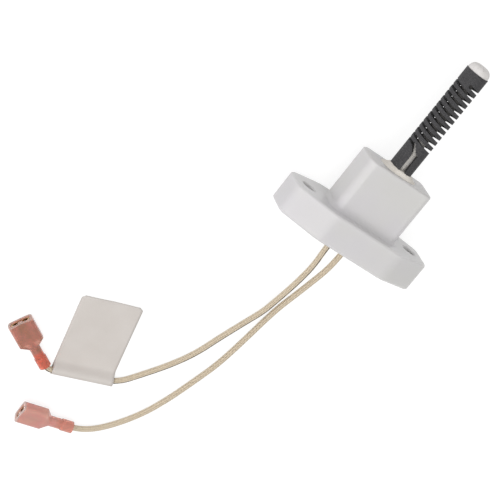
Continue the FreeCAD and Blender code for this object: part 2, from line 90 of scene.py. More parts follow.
nodes = frame["nodes"]
cad_low, cad_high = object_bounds()
print("CAD box in mm", [round(v / MM, 1) for v in (*cad_low, *cad_high)])

# %% [markdown]
# ## Camera
# A catalogue photograph is taken from a little distance with a long lens, so that parallel
# edges stay nearly parallel. The camera looks down on the igniter from its tip's side and is
# rolled, which puts the element at the top right and the terminals at the lower left. Its
# three axes are written as the columns of a matrix: right, up, and back towards the camera.

# %% Camera
camera_data = bpy.data.cameras.new("camera")
camera_data.lens = 124.5
camera_data.sensor_width = 36.0
camera_data.clip_start = 0.05
camera_data.clip_end = 10.0
camera = bpy.data.objects.new("camera", camera_data)
bpy.context.scene.collection.objects.link(camera)
right = Vector((0.7754, 0.6013, 0.1932)).normalized()
back = Vector((-0.4159, 0.2559, 0.8727)).normalized()
up = back.cross(right).normalized()
right = up.cross(back)
place = Vector((-302.7, 135.3, 575.8)) * MM
camera.matrix_world = Matrix.Translation(place) @ Matrix((right, up, back)).transposed().to_4x4()
bpy.context.scene.camera = camera
bpy.context.scene.view_settings.view_transform = "Standard"

# %% [markdown]
# ## Shader helpers
# A material is a small network of nodes. A few helpers keep the cells below short: one adds a
# node and sets its sockets, one starts a material with a Principled shader, and one places a
# shared node group. The last ones are the small steps that nearly every finish needs, such as
# a blend of two colours or a ramp. Groups hold the effects that more than one finish uses, and
# every material gives them its own values.

# %% Node helpers
def add(tree, kind, values=None, **settings):
    node = tree.nodes.new(kind)
    for name, value in settings.items():
        setattr(node, name, value)
    for socket, value in (values or {}).items():
        if isinstance(value, bpy.types.NodeSocket):
            tree.links.new(value, node.inputs[socket])
        else:
            node.inputs[socket].default_value = value
    return node


def colour(r, g, b):
    return (r, g, b, 1.0)


def start_material(name, **shader_values):
    material = bpy.data.materials.new(name)
    material.use_nodes = True
    tree = material.node_tree
    shader = tree.nodes["Principled BSDF"]
    for socket, value in shader_values.items():
        shader.inputs[socket.replace("_", " ")].default_value = value
    return material, tree, shader


def start_group(name, inputs, outputs):
    group = bpy.data.node_groups.new(name, "ShaderNodeTree")
    kinds = {"V": "NodeSocketVector", "F": "NodeSocketFloat", "C": "NodeSocketColor"}
    for label, kind in inputs:
        group.interface.new_socket(name=label, in_out="INPUT", socket_type=kinds[kind])
    for label, kind in outputs:
        group.interface.new_socket(name=label, in_out="OUTPUT", socket_type=kinds[kind])
    return group, group.nodes.new("NodeGroupInput"), group.nodes.new("NodeGroupOutput")


def place_group(tree, group, values):
    return add(tree, "ShaderNodeGroup", values, node_tree=group)


def bump(tree, shader, height, strength, distance):
    node = add(tree, "ShaderNodeBump", {"Height": height, "Strength": strength, "Distance": distance})
    tree.links.new(node.outputs["Normal"], shader.inputs["Normal"])


def blended(tree, share, first, second):
    """A colour between two others. The share may come from a mask."""
    values = {"Factor": share, "A": first, "B": second}
    return add(tree, "ShaderNodeMix", values, data_type="RGBA").outputs["Result"]


def ramp(tree, value, start, end, low=0.0, high=1.0):
    """A straight ramp from low to high, flat before its start and after its end."""
    values = {"Value": value, "From Min": start, "From Max": end, "To Min": low, "To Max": high}
    return add(tree, "ShaderNodeMapRange", values).outputs["Result"]


def calculate(tree, operation, first, second):
    return add(tree, "ShaderNodeMath", {0: first, 1: second}, operation=operation).outputs["Value"]


# %% [markdown]
# ## Shared effects
# Real surfaces drift in tone, have a grain, and carry specks. Tone drift mixes two colours with
# a slow noise. Grain adds a coarse and a fine noise into one height, which a Bump node turns
# into relief. Specks are the middles of random cells, cut off at a chosen size, so that a few
# small dots are left.

# %% Tone drift, grain and speck groups
def noise_in(group, taken, scale, detail):
    values = {"Vector": taken.outputs["Place"], "Scale": taken.outputs[scale], "Detail": detail}
    return add(group, "ShaderNodeTexNoise", values).outputs["Fac"]


wanted = [("Place", "V"), ("Scale", "F"), ("First", "C"), ("Second", "C")]
tone_drift, taken, given = start_group("tone_drift", wanted, [("Colour", "C"), ("Value", "F")])
spread = ramp(tone_drift, noise_in(tone_drift, taken, "Scale", 3.0), 0.32, 0.68)
tone = blended(tone_drift, spread, taken.outputs["First"], taken.outputs["Second"])
tone_drift.links.new(tone, given.inputs["Colour"])
tone_drift.links.new(spread, given.inputs["Value"])

wanted = [("Place", "V"), ("Coarse", "F"), ("Fine", "F")]
grain, taken, given = start_group("grain", wanted, [("Height", "F")])
large = noise_in(grain, taken, "Coarse", 2.0)
small = noise_in(grain, taken, "Fine", 4.0)
grain.links.new(calculate(grain, "ADD", large, small), given.inputs["Height"])

wanted = [("Place", "V"), ("Scale", "F"), ("Size", "F")]
specks, taken, given = start_group("specks", wanted, [("Mask", "F")])
values = {"Vector": taken.outputs["Place"], "Scale": taken.outputs["Scale"]}
cells = add(specks, "ShaderNodeTexVoronoi", values).outputs
chance = add(specks, "ShaderNodeSeparateColor", {"Color": cells["Color"]}).outputs["Red"]
reach = calculate(specks, "MULTIPLY", chance, taken.outputs["Size"])
specks.links.new(calculate(specks, "LESS_THAN", cells["Distance"], reach), given.inputs["Mask"])
print("shader groups", [g.name for g in bpy.data.node_groups])

# %% Finish helpers
def object_place(tree):
    return add(tree, "ShaderNodeTexCoord").outputs["Object"]


def along_element(tree, place):
    """The coordinate along the heating element, zero at the seat."""
    return add(tree, "ShaderNodeSeparateXYZ", {"Vector": place}).outputs["Y"]


def drifting(tree, place, scale, first, second):
    """Two tones that drift into each other: the colour, and the value behind it."""
    values = {"Place": place, "Scale": scale, "First": colour(*first), "Second": colour(*second)}
    return place_group(tree, tone_drift, values).outputs


def speckled(tree, place, scale, size):
    return place_group(tree, specks, {"Place": place, "Scale": scale, "Size": size}).outputs["Mask"]


def relief(tree, shader, place, coarse, fine, strength, distance):
    height = place_group(tree, grain, {"Place": place, "Coarse": coarse, "Fine": fine}).outputs["Height"]
    bump(tree, shader, height, strength, distance)


def paint(tree, shader, finished_colour):
    tree.links.new(finished_colour, shader.inputs["Base Color"])


# %% [markdown]
# ## Floor and light
# The photograph has a pure white ground and no hard shadow. The floor is pale and diffuse for
# the light that bounces off it. What the camera sees of it is mostly its own white, with some
# of the real light mixed in, so a soft shadow stays under the igniter. The lamps are large and
# weak, because small strong lamps would give pressed ceramic hard highlights.

# %% Floor
FLOOR_LEVEL = cad_low.z
FLOOR_GAP = 0.02 * MM
floor_mesh = bpy.data.meshes.new("floor")
bm = bmesh.new()
bmesh.ops.create_grid(bm, x_segments=1, y_segments=1, size=3.0)
bmesh.ops.translate(bm, verts=bm.verts, vec=(0.0, 0.0, FLOOR_LEVEL - FLOOR_GAP))
bm.to_mesh(floor_mesh)
bm.free()
floor = bpy.data.objects.new("floor", floor_mesh)
bpy.context.scene.collection.objects.link(floor)

floor_material = bpy.data.materials.new("pale_floor")
floor_material.use_nodes = True
tree = floor_material.node_tree
tree.nodes.clear()
paths = add(tree, "ShaderNodeLightPath").outputs
seen = calculate(tree, "MAXIMUM", paths["Is Camera Ray"], paths["Is Glossy Ray"])
seen = calculate(tree, "MAXIMUM", seen, paths["Is Transmission Ray"])
plain = add(tree, "ShaderNodeBsdfDiffuse", {"Color": colour(0.8, 0.8, 0.8)})
shade = add(tree, "ShaderNodeBsdfDiffuse", {"Color": colour(0.3, 0.3, 0.3)})
white = add(tree, "ShaderNodeEmission", {"Color": colour(1, 1, 1), "Strength": 0.8})
both = add(tree, "ShaderNodeAddShader", {0: shade.outputs["BSDF"], 1: white.outputs["Emission"]})
values = {0: seen, 1: plain.outputs["BSDF"], 2: both.outputs["Shader"]}
mixed = add(tree, "ShaderNodeMixShader", values)
add(tree, "ShaderNodeOutputMaterial", {"Surface": mixed.outputs["Shader"]})
floor_mesh.materials.append(floor_material)

# %% World and lamps
WORLD_LEVEL = 0.58
world = bpy.data.worlds.new("studio")
bpy.context.scene.world = world
world.use_nodes = True
tree = world.node_tree
tree.nodes.clear()
paths = add(tree, "ShaderNodeLightPath").outputs
direct = calculate(tree, "MAXIMUM", paths["Is Camera Ray"], paths["Is Transmission Ray"])
level = ramp(tree, direct, 0.0, 1.0, WORLD_LEVEL, 1.0)
backdrop = add(tree, "ShaderNodeBackground", {"Color": colour(1, 1, 1), "Strength": level})
add(tree, "ShaderNodeOutputWorld", {"Surface": backdrop.outputs["Background"]})

TARGET = Vector((-0.01, -0.02, 0.0))


def soft_lamp(name, place, width, power, tint):
    data = bpy.data.lights.new(name, "AREA")
    data.shape = "DISK"
    data.size = width
    data.energy = power
    data.color = tint
    lamp = bpy.data.objects.new(name, data)
    lamp.location = place
    lamp.rotation_euler = (TARGET - Vector(place)).to_track_quat("-Z", "Y").to_euler()
    bpy.context.scene.collection.objects.link(lamp)


soft_lamp("key_lamp", (-0.25, -0.12, 0.85), 1.0, 3.7, (1.0, 0.99, 0.97))
soft_lamp("left_lamp", (-0.80, -0.05, 0.35), 0.6, 1.2, (0.97, 0.94, 1.0))
print("lamps placed")

# %% [markdown]
# ## Finishes
# The block is pressed steatite with a slight sheen: nearly white, a little lilac in places,
# with a faint grain from the die. Light goes a few millimetres into such a ceramic, so its
# corners and holes are soft. The tower's top is painted a darker grey, as painted shade.
# The cement is poured by hand, so it is beige, matt and rough. The element is fired silicon
# carbide, a mass of dark crystals: its grain is strong, and some crystals catch the light. The
# rod and the cap are a plain fired ceramic with small dark specks, and the rod is painted near
# black under the spiral cuts, as painted shade in the cuts.

# %% Ceramic, cement and silicon carbide
block_ceramic, tree, shader = start_material(
    "pressed_ceramic",
    Roughness=0.5,
    Coat_Weight=0.45,
    Coat_Roughness=0.12,
    Subsurface_Weight=0.4,
    Subsurface_Scale=4.0 * MM,
    Subsurface_Radius=(1.0, 1.0, 1.0),
)
here = object_place(tree)
tone = drifting(tree, here, 45.0, (0.665, 0.652, 0.668), (0.668, 0.662, 0.648))
# painted shade: the tower's top face is blended towards a darker grey
painted_shade_on_tower_top = ramp(tree, along_element(tree, here), 22.6 * MM, 23.4 * MM, high=0.8)
paint(tree, shader, blended(tree, painted_shade_on_tower_top, tone["Colour"], colour(0.56, 0.545, 0.54)))
relief(tree, shader, here, 260.0, 2400.0, 0.10, 0.12 * MM)

cement, tree, shader = start_material("poured_cement", Roughness=0.88)
here = object_place(tree)
tone = drifting(tree, here, 420.0, (0.92, 0.875, 0.81), (0.85, 0.795, 0.72))
paint(tree, shader, tone["Colour"])
relief(tree, shader, here, 900.0, 5000.0, 0.55, 0.2 * MM)

silicon_carbide, tree, shader = start_material("silicon_carbide", Roughness=0.62)
here = object_place(tree)
tone = drifting(tree, here, 1900.0, (0.026, 0.026, 0.029), (0.060, 0.058, 0.060))
sparkle = speckled(tree, here, 3600.0, 0.26)
paint(tree, shader, blended(tree, sparkle, tone["Colour"], colour(0.15, 0.15, 0.16)))
tree.links.new(ramp(tree, sparkle, 0.0, 1.0, 0.66, 0.30), shader.inputs["Roughness"])
relief(tree, shader, here, 2600.0, 7000.0, 0.6, 0.15 * MM)


def fired(name, light, dark, slot_shade=0.0):
    """Fired ceramic with small dark specks, painted near black under the element's spiral cuts as painted
    shade.
    """
    material, tree, shader = start_material(name, Roughness=0.7)
    here = object_place(tree)
    tone = drifting(tree, here, 600.0, light, dark)
    marked = blended(tree, speckled(tree, here, 1500.0, 0.2), tone["Colour"], colour(0.30, 0.27, 0.25))
    # painted shade: from 35 to 40 mm along the element the rod turns near black, so the spiral cuts look
    # shaded
    slot_shade_mask = ramp(tree, along_element(tree, here), 35.0 * MM, 40.0 * MM, high=slot_shade)
    paint(tree, shader, blended(tree, slot_shade_mask, marked, colour(0.05, 0.047, 0.045)))
    relief(tree, shader, here, 1500.0, 6000.0, 0.3, 0.12 * MM)
    return material


fired_ceramic = fired("fired_ceramic", (0.80, 0.78, 0.765), (0.725, 0.70, 0.68))
# painted shade on the rod under the spiral cuts
slot_shade_ceramic = fired("slot_shade_ceramic", (0.80, 0.78, 0.75), (0.72, 0.69, 0.65), 0.9)

# %% [markdown]
# The leads are sleeved in varnished glass fibre yarn, cream with a dark tracer. Each yarn is a
# bundle of fibres, so its finish has fine streaks that run along it. They read the yarn's own
# UV map, whose second axis follows the yarn.

# %% Yarn and lining
def yarn(name, light, dark):
    material, tree, shader = start_material(name, Roughness=0.5, Sheen_Weight=0.15)
    across = add(tree, "ShaderNodeTexCoord").outputs["UV"]
    stretched = add(tree, "ShaderNodeMapping", {"Vector": across, "Scale": (9.0, 260.0, 1.0)})
    tone = drifting(tree, stretched.outputs["Vector"], 1.0, light, dark)
    paint(tree, shader, tone["Colour"])
    bump(tree, shader, tone["Value"], 0.25, 0.04 * MM)
    return material


cream_yarn = yarn("cream_yarn", (0.83, 0.72, 0.55), (0.68, 0.56, 0.40))
dark_thread = yarn("dark_thread", (0.07, 0.06, 0.055), (0.03, 0.027, 0.025))
# painted shade: the lining under the yarns is dark brown, so the gaps between them look shaded
gap_shade_lining, tree, shader = start_material("gap_shade_lining", Roughness=0.8)
tone = drifting(tree, object_place(tree), 900.0, (0.42, 0.35, 0.24), (0.30, 0.24, 0.16))
paint(tree, shader, tone["Colour"])

# %% [markdown]
# The terminals are insulated with pink nylon that lets light through, so the brass inside shows
# as a browner shape. Its colour isn't even. Where it grips the crimp it is redder, and at its
# thin mouth it is paler, so these two tints go by the distance from the barrel. Seen at a
# grazing angle there is more nylon to look through, and a Layer Weight node makes it pinker.

# %% Nylon
BARREL_REACH = (3.8 * MM, 5.2 * MM)
MOUTH_REACH = (19.3 * MM, 19.7 * MM)


def nylon(name, face, rim, barrel, mouth, clear, barrel_place):
    material, tree, shader = start_material(
        name, Roughness=0.2, Transmission_Weight=clear, IOR=1.4
    )
    here = object_place(tree)
    away = add(tree, "ShaderNodeVectorMath", {0: here, 1: barrel_place}, operation="DISTANCE")
    away = away.outputs["Value"]
    tinted = drifting(tree, here, 260.0, face, rim)["Colour"]
    grazing = add(tree, "ShaderNodeLayerWeight", {"Blend": 0.3}).outputs["Facing"]
    tinted = blended(tree, grazing, tinted, colour(*rim))
    tinted = blended(tree, ramp(tree, away, *BARREL_REACH, 1.0, 0.0), tinted, colour(*barrel))
    tinted = blended(tree, ramp(tree, away, *MOUTH_REACH), tinted, colour(*mouth))
    paint(tree, shader, tinted)
    relief(tree, shader, here, 500.0, 2500.0, 0.12, 0.1 * MM)
    return material


left_nylon = nylon(
    "red_pink_nylon",
    face=(0.60, 0.33, 0.22),
    rim=(0.84, 0.38, 0.32),
    barrel=(0.90, 0.28, 0.19),
    mouth=(0.90, 0.70, 0.62),
    clear=0.6,
    barrel_place=(-0.0638, -0.1198, -0.0123),
)
right_nylon = nylon(
    "pale_pink_nylon",
    face=(0.92, 0.58, 0.47),
    rim=(0.92, 0.48, 0.43),
    barrel=(0.88, 0.42, 0.33),
    mouth=(0.92, 0.78, 0.72),
    clear=0.5,
    barrel_place=(-0.0391, -0.1395, -0.0115),
)

# %% Metals and paper
def metal(name, light, dark, roughness):
    material, tree, shader = start_material(name, Roughness=roughness, Metallic=1.0)
    here = object_place(tree)
    paint(tree, shader, drifting(tree, here, 500.0, light, dark)["Colour"])
    relief(tree, shader, here, 700.0, 4000.0, 0.15, 0.05 * MM)
    return material


brass = metal("rolled_brass", (0.62, 0.48, 0.25), (0.50, 0.38, 0.19), 0.34)
copper_red = metal("copper_red", (0.85, 0.38, 0.20), (0.72, 0.29, 0.14), 0.38)
nickel = metal("nickel", (0.66, 0.63, 0.58), (0.54, 0.51, 0.47), 0.42)
bare_wire = metal("bare_wire", (0.72, 0.66, 0.58), (0.60, 0.54, 0.46), 0.36)

paper, tree, shader = start_material("label_paper", Roughness=0.62)
here = object_place(tree)
paint(tree, shader, drifting(tree, here, 130.0, (0.66, 0.62, 0.585), (0.635, 0.593, 0.557))["Colour"])
relief(tree, shader, here, 900.0, 4500.0, 0.12, 0.05 * MM)
print("materials", len(bpy.data.materials))

# %% [markdown]
# ## Helpers for pieces
# A CAD node arrives as loose triangles. Where its own shape is right, a merged copy takes its
# place, so that round faces can be shaded smooth and its creases stay sharp. Weighted normals
# then keep the large flat faces flat beside small fillets. Every other piece is a new mesh made
# with bmesh operators, and one helper puts it into the scene and hides the CAD node it stands for.

# %% Piece helpers
WELD = 0.002 * MM
CREASE = math.radians(35)


def finish_piece(name, bm, materials, stands_for):
    mesh = bpy.data.meshes.new(name)
    for face in bm.faces:
        face.smooth = True
    bm.to_mesh(mesh)
    bm.free()
    piece = bpy.data.objects.new(name, mesh)
    bpy.context.scene.collection.objects.link(piece)
    for material in materials:
        mesh.materials.append(material)
    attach(piece, "root")
    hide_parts(stands_for)
    print(name, len(mesh.polygons), "faces")
    return piece


def merged_copy(node, name, material):
    bm = bmesh.new()
    bm.from_mesh(nodes[node].data)
    bmesh.ops.remove_doubles(bm, verts=bm.verts, dist=WELD)
    bmesh.ops.dissolve_degenerate(bm, dist=WELD, edges=bm.edges)
    for edge in bm.edges:
        if len(edge.link_faces) != 2 or edge.calc_face_angle(0.0) > CREASE:
            edge.smooth = False
    piece = finish_piece(name, bm, [material], node)
    if "custom_normal" in piece.data.attributes:
        piece.data.attributes.remove(piece.data.attributes["custom_normal"])
    weighted = piece.modifiers.new("flat_faces_stay_flat", "WEIGHTED_NORMAL")
    weighted.keep_sharp = True
    return piece


def dress_node(node, material):
    """Keeps a CAD node as it is and only gives it a better finish."""
    mesh = nodes[node].data
    mesh.materials.clear()
    mesh.materials.append(material)


# %% [markdown]
# ## Block, element and rod
# These are machined or pressed shapes, and the CAD model has them exactly: the flange with its
# two screw holes, the tower, the double spiral cut and the rod inside. Only their surfaces are
# made here. The clips and splices are sealed in cement, so a plain nickel finish is enough.

# %% Block, element and rod
merged_copy("ceramic_block", "block", block_ceramic)
merged_copy("heating_element", "spiral_element", silicon_carbide)
dress_node("support_rod", slot_shade_ceramic)
for side in ("left", "right"):
    dress_node(f"{side}_leg_clip", nickel)
    dress_node(f"{side}_splice", nickel)

# %% [markdown]
# ## Tip cap
# The cap is a turned ceramic plug with a rounded end. It could be a squashed sphere, but its
# side is straight for a little way before the shoulder curves in. So half of its profile is
# drawn and spun about the element's axis, and a little noise makes it look fired and not cut.

# %% Tip cap
TUBE_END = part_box("heating_element")[1].y
CAP_RADIUS = 4.55 * MM
CAP_RISE = 3.3 * MM
CAP_CHAMFER = 0.12 * MM
CAP_CREASE = math.radians(40)
SHOULDER = 2.9 * MM
SHOULDER_STEPS = 12
PLUG_RADIUS = 2.85 * MM
PLUG_LENGTH = 2.5 * MM
UNEVENNESS = 0.06 * MM


def from_axis(radius, height):
    return Vector((radius, TUBE_END + height, 0.0))


profile = [from_axis(0, -PLUG_LENGTH), from_axis(PLUG_RADIUS, -PLUG_LENGTH), from_axis(PLUG_RADIUS, 0)]
profile += [from_axis(CAP_RADIUS - CAP_CHAMFER, 0), from_axis(CAP_RADIUS, CAP_CHAMFER)]
for step in range(SHOULDER_STEPS + 1):
    turn = math.radians(90 * step / SHOULDER_STEPS)
    radius = CAP_RADIUS - SHOULDER + SHOULDER * math.cos(turn)
    profile.append(from_axis(radius, CAP_RISE - SHOULDER + SHOULDER * math.sin(turn)))
profile.append(from_axis(0, CAP_RISE))
bm = bmesh.new()
corners = [bm.verts.new(point) for point in profile]
chain = [bm.edges.new(pair) for pair in zip(corners, corners[1:])]
bmesh.ops.spin(
    bm, geom=corners + chain, cent=(0, 0, 0), axis=(0, 1, 0), angle=math.tau, steps=72, use_merge=True
)
bmesh.ops.remove_doubles(bm, verts=bm.verts, dist=0.005 * MM)
bmesh.ops.recalc_face_normals(bm, faces=bm.faces)
for vertex in bm.verts:
    if vertex.co.y > TUBE_END + 0.01 * MM:
        vertex.co += vertex.normal * UNEVENNESS * noise.noise(vertex.co * 900)
for edge in bm.edges:
    if edge.calc_face_angle(0.0) > CAP_CREASE:
        edge.smooth = False
finish_piece("cap", bm, [fired_ceramic], "tip_cap")

# %% [markdown]
# ## Cement
# Cement is poured round the element's foot and heaps up against it, and a second lot seals the
# leads behind. Both are made in the same way. A ring of points starts on the pocket's outline
# and is pulled in step by step towards the middle, and every point gets its height from a
# simple rule with noise on it. The outer ring is then pushed down, so the cement has its depth.

# %% Poured cement
POCKET = (15.6 * MM, 11.2 * MM)
SPREAD = 0.5 * MM
FRONT_OUTLINE = (POCKET[0] + 2 * SPREAD, POCKET[1] + 2 * SPREAD)
REAR_OUTLINE = (13.6 * MM, 8.4 * MM)
FRONT_DEPTH = 14.9 * MM
REAR_DEPTH = 5.9 * MM
FOOT_SIZE = (0.9, 0.88)
HEAP_RINGS = 14
HEAP_POINTS = 120
ELEMENT_RADIUS = 4.85 * MM
TOWER_TOP = 23.5 * MM
REAR = -12.5 * MM
LEAD_X = 3.4 * MM


def slot_point(width, height, turn):
    """The point of a slot-shaped outline in a given direction from its middle."""
    radius = height / 2
    reach = (width - height) / 2
    x, z = math.cos(turn), math.sin(turn)
    if abs(z) * reach >= abs(x) * radius:
        return Vector((x * radius / abs(z), 0.0, math.copysign(radius, z)))
    along = x * math.copysign(reach, x)
    distance = along + math.sqrt(max(along * along - reach * reach + radius * radius, 0.0))
    return Vector((x * distance, 0.0, z * distance))


def pour(outline, level, facing, depth, rule):
    """A heap of cement that faces +Y or -Y. The rule gives the height at x and z."""
    bm = bmesh.new()
    turns = [math.tau * i / HEAP_POINTS for i in range(HEAP_POINTS)]
    rim = [bm.verts.new(slot_point(*outline, turn)) for turn in turns]
    edges = [bm.edges.new((rim[i - 1], rim[i])) for i in range(HEAP_POINTS)]
    for left in range(HEAP_RINGS - 1, -1, -1):
        grown = bmesh.ops.extrude_edge_only(bm, edges=edges)["geom"]
        ring = [v for v in grown if isinstance(v, bmesh.types.BMVert)]
        edges = [e for e in grown if isinstance(e, bmesh.types.BMEdge) and all(v in ring for v in e.verts)]
        share = left / (left + 1)
        bmesh.ops.scale(bm, verts=ring, vec=(share, 1, share))
    bmesh.ops.remove_doubles(bm, verts=ring, dist=0.01 * MM)
    for vertex in bm.verts:
        vertex.co.y = level + facing * rule(vertex.co.x, vertex.co.z)
    down = bmesh.ops.extrude_edge_only(bm, edges=[e for e in bm.edges if e.is_boundary])["geom"]
    for vertex in [v for v in down if isinstance(v, bmesh.types.BMVert)]:
        x, z = vertex.co.x * FOOT_SIZE[0], vertex.co.z * FOOT_SIZE[1]
        vertex.co = Vector((x, level - facing * depth, z))
    bmesh.ops.edgeloop_fill(bm, edges=[e for e in bm.edges if e.is_boundary])
    bmesh.ops.recalc_face_normals(bm, faces=bm.faces)
    return bm


def lumps(x, z, seed, size):
    return noise.noise(Vector((x, z, seed)) * size)


def front_heap(x, z):
    """Highest at the element, lumpy between, and only a skin at the pocket's edge."""
    edge = slot_point(*FRONT_OUTLINE, math.atan2(z, x)).length
    away = math.hypot(x, z) - ELEMENT_RADIUS
    share = min(1.0, max(0.0, away / (edge - ELEMENT_RADIUS)))
    lump = lumps(x, z, 0, 420) * 0.35 + lumps(x, z, 5, 1300) * 0.12
    rise = (1.0 - share) ** 1.2 * 1.75 + lump * math.sin(math.pi * min(share + 0.25, 1.0))
    return max(rise, 0.04) * MM if share < 0.999 else 0.0


def rear_heap(x, z):
    """Sunk a little into the block, with a collar that climbs each lead."""
    edge = slot_point(*REAR_OUTLINE, math.atan2(z, x)).length
    share = min(1.0, math.hypot(x, z) / edge)
    nearest = min(math.hypot(x - LEAD_X, z), math.hypot(x + LEAD_X, z))
    collar = 0.55 * math.exp(-max(nearest - 1.05 * MM, 0.0) / (0.45 * MM))
    lump = lumps(x, z, 3, 500) * 0.2
    return -0.25 * MM * (1 - share) + (collar + lump * (1 - share**4)) * 0.6 * MM - 0.2 * MM


front = pour(FRONT_OUTLINE, TOWER_TOP, 1, FRONT_DEPTH, front_heap)
finish_piece("front_cement_heap", front, [cement], "front_cement")
rear = pour(REAR_OUTLINE, REAR, -1, REAR_DEPTH, rear_heap)
finish_piece("rear_cement_seal", rear, [cement], "rear_cement")

# %% [markdown]
# ## Leads
# Each lead leaves the back of the block, comes down in a long slope to the surface, and runs
# across it to its terminal. The route is a list of points, used as the control points of a
# smooth NURBS spline. The spline is read back as a plain row of points, and everything that
# follows the lead is made from them: the woven sleeve and the wire strands inside it.

# %% Routes of the two leads
INSIDE = 18.5 * MM
ROUTES = {
    "left": [
        (-0.0034, 0.006, 0.0),
        (-0.0034, -0.003, 0.0),
        (-0.0034, -0.0125, 0.0),
        (-0.0034, -0.018, 0.0),
        (-0.002, -0.0255, -0.0016),
        (-0.0012, -0.0333, -0.0044),
        (-0.0005, -0.0417, -0.008),
        (-0.0002, -0.0496, -0.0114),
        (-0.0007, -0.0563, -0.01305),
        (-0.0038, -0.0641, -0.01335),
        (-0.0083, -0.0752, -0.01335),
        (-0.0124, -0.0864, -0.01335),
        (-0.0184, -0.0963, -0.01335),
        (-0.0252, -0.1052, -0.01325),
        (-0.0314, -0.1129, -0.01315),
        (-0.0396, -0.1159, -0.01305),
        (-0.0475, -0.1184, -0.01295),
        (-0.0538, -0.12045, -0.01285),
        (-0.0575, -0.12175, -0.0125),
        (-0.06022, -0.12185, -0.01215),
        (-0.06273, -0.1204, -0.01215),
    ],
    "right": [
        (0.0034, 0.006, 0.0),
        (0.0034, -0.003, 0.0),
        (0.0034, -0.0125, 0.0),
        (0.0034, -0.018, 0.0),
        (0.0037, -0.0248, -0.0016),
        (0.0035, -0.0326, -0.0044),
        (0.0033, -0.0417, -0.008),
        (0.003, -0.0503, -0.0114),
        (0.0025, -0.0583, -0.01305),
        (0.0015, -0.0667, -0.01335),
        (0.0002, -0.0755, -0.01335),
        (-0.0016, -0.0857, -0.01335),
        (-0.0049, -0.0963, -0.01335),
        (-0.0087, -0.1078, -0.01335),
        (-0.0132, -0.1184, -0.01335),
        (-0.0189, -0.1273, -0.01335),
        (-0.0249, -0.1341, -0.01315),
        (-0.0301, -0.1374, -0.0123),
        (-0.035015, -0.138836, -0.01133),
        (-0.037866, -0.139364, -0.011254),
    ],
}


def spline_line(name, points):
    """The smooth line through the route's control points, as a row of close points."""
    curve = bpy.data.curves.new(name, "CURVE")
    curve.dimensions = "3D"
    spline = curve.splines.new("NURBS")
    spline.points.add(len(points) - 1)
    for knot, point in zip(spline.points, points):
        knot.co = (*point, 1.0)
    spline.order_u = 3
    spline.use_endpoint_u = True
    spline.resolution_u = 20
    carrier = bpy.data.objects.new(name, curve)
    mesh = bpy.data.meshes.new_from_object(carrier)
    line = [vertex.co.copy() for vertex in mesh.vertices]
    bpy.data.objects.remove(carrier)
    bpy.data.curves.remove(curve)
    bpy.data.meshes.remove(mesh)
    return line


def even_frames(line, rows):
    """Evenly spaced places on a line, each with two side axes that don't twist."""
    lengths = [0.0]
    for a, b in zip(line, line[1:]):
        lengths.append(lengths[-1] + (b - a).length)
    places, at = [], 0
    for row in range(rows + 1):
        goal = lengths[-1] * row / rows
        while at < len(line) - 2 and lengths[at + 1] < goal:
            at += 1
        share = (goal - lengths[at]) / max(lengths[at + 1] - lengths[at], 1e-12)
        places.append(line[at].lerp(line[at + 1], min(share, 1.0)))
    frames = []
    side = Vector((0.0, 0.0, 1.0))
    for row, point in enumerate(places):
        ahead = (places[min(row + 2, rows)] - places[max(row - 2, 0)]).normalized()
        side = (side - ahead * side.dot(ahead)).normalized()
        frames.append((point, side, ahead.cross(side)))
    return frames, lengths[-1]


def around(frame, angle, radius):
    """The point at this angle and distance from a place on the line."""
    point, side, other = frame
    return point + (side * math.cos(angle) + other * math.sin(angle)) * radius


LINES = {side: spline_line(f"{side}_route", points) for side, points in ROUTES.items()}
for side, line in LINES.items():
    whole = round(even_frames(line, 200)[1] / MM, 1)
    print(side, "lead", whole, "mm, of which", INSIDE / MM, "mm inside the block")

# %% [markdown]
# The sleeve is a real braid. Sixteen yarns wind round the wire, eight each way, and each one
# passes over and under the ones that go the other way. A picture of a braid would look flat at
# the edges, so every yarn is modelled. Each starts as a flat grid that is wrapped into a thin
# closed ribbon, and the grid's two directions become the yarn's UV map. The left lead also has
# a dark tracer thread. It runs straight along the sleeve and dips between the yarns now and
# then, so it shows as dashes. A thin lining fills the gaps: its dark brown is painted shade.

# %% Woven sleeve
YARNS_EACH_WAY = 8
TURN_LENGTH = 6.8 * MM
BRAID_RADIUS = 1.12 * MM
WEAVE_HEIGHT = 0.06 * MM
YARN_WIDTH = 0.64 * MM
YARN_HALF_THICKNESS = 0.06 * MM
BRAID_ROWS = 1400
LINING_STEP = 7
LINING_COLUMNS = 16
LINING_DEPTH = 0.075 * MM
THREAD_WIDTH = 0.34 * MM
THREAD_HALF_THICKNESS = 0.05 * MM
THREAD_TURN = math.radians(-24)
THREAD_LIFT = 0.105 * MM
THREAD_DIVE = 0.15 * MM
SEAM = 0.0004 * MM


def wrapped_grid(bm, columns, rows, place, material=0):
    """A grid with one side closed on itself, each point put where the rule says."""
    made = bmesh.ops.create_grid(bm, x_segments=columns, y_segments=rows, size=0.5, calc_uvs=True)
    verts = made["verts"]
    for face in {f for v in verts for f in v.link_faces}:
        face.material_index = material
    for vertex in verts:
        column = round((vertex.co.x + 0.5) * columns)
        row = round((vertex.co.y + 0.5) * rows)
        vertex.co = place(column % columns, row)


def close_up(bm):
    """Welds each wrapped grid's seam and fills its two ends."""
    bmesh.ops.remove_doubles(bm, verts=bm.verts, dist=SEAM)
    bmesh.ops.edgeloop_fill(bm, edges=[e for e in bm.edges if e.is_boundary])
    bmesh.ops.recalc_face_normals(bm, faces=bm.faces)


def ribbon_corner(column, half_turn, half_thickness):
    """A ribbon has four corners: the turn and the lift of each."""
    turn = (0.0, half_turn, 0.0, -half_turn)[column]
    return turn, (half_thickness, 0.0, -half_thickness, 0.0)[column]


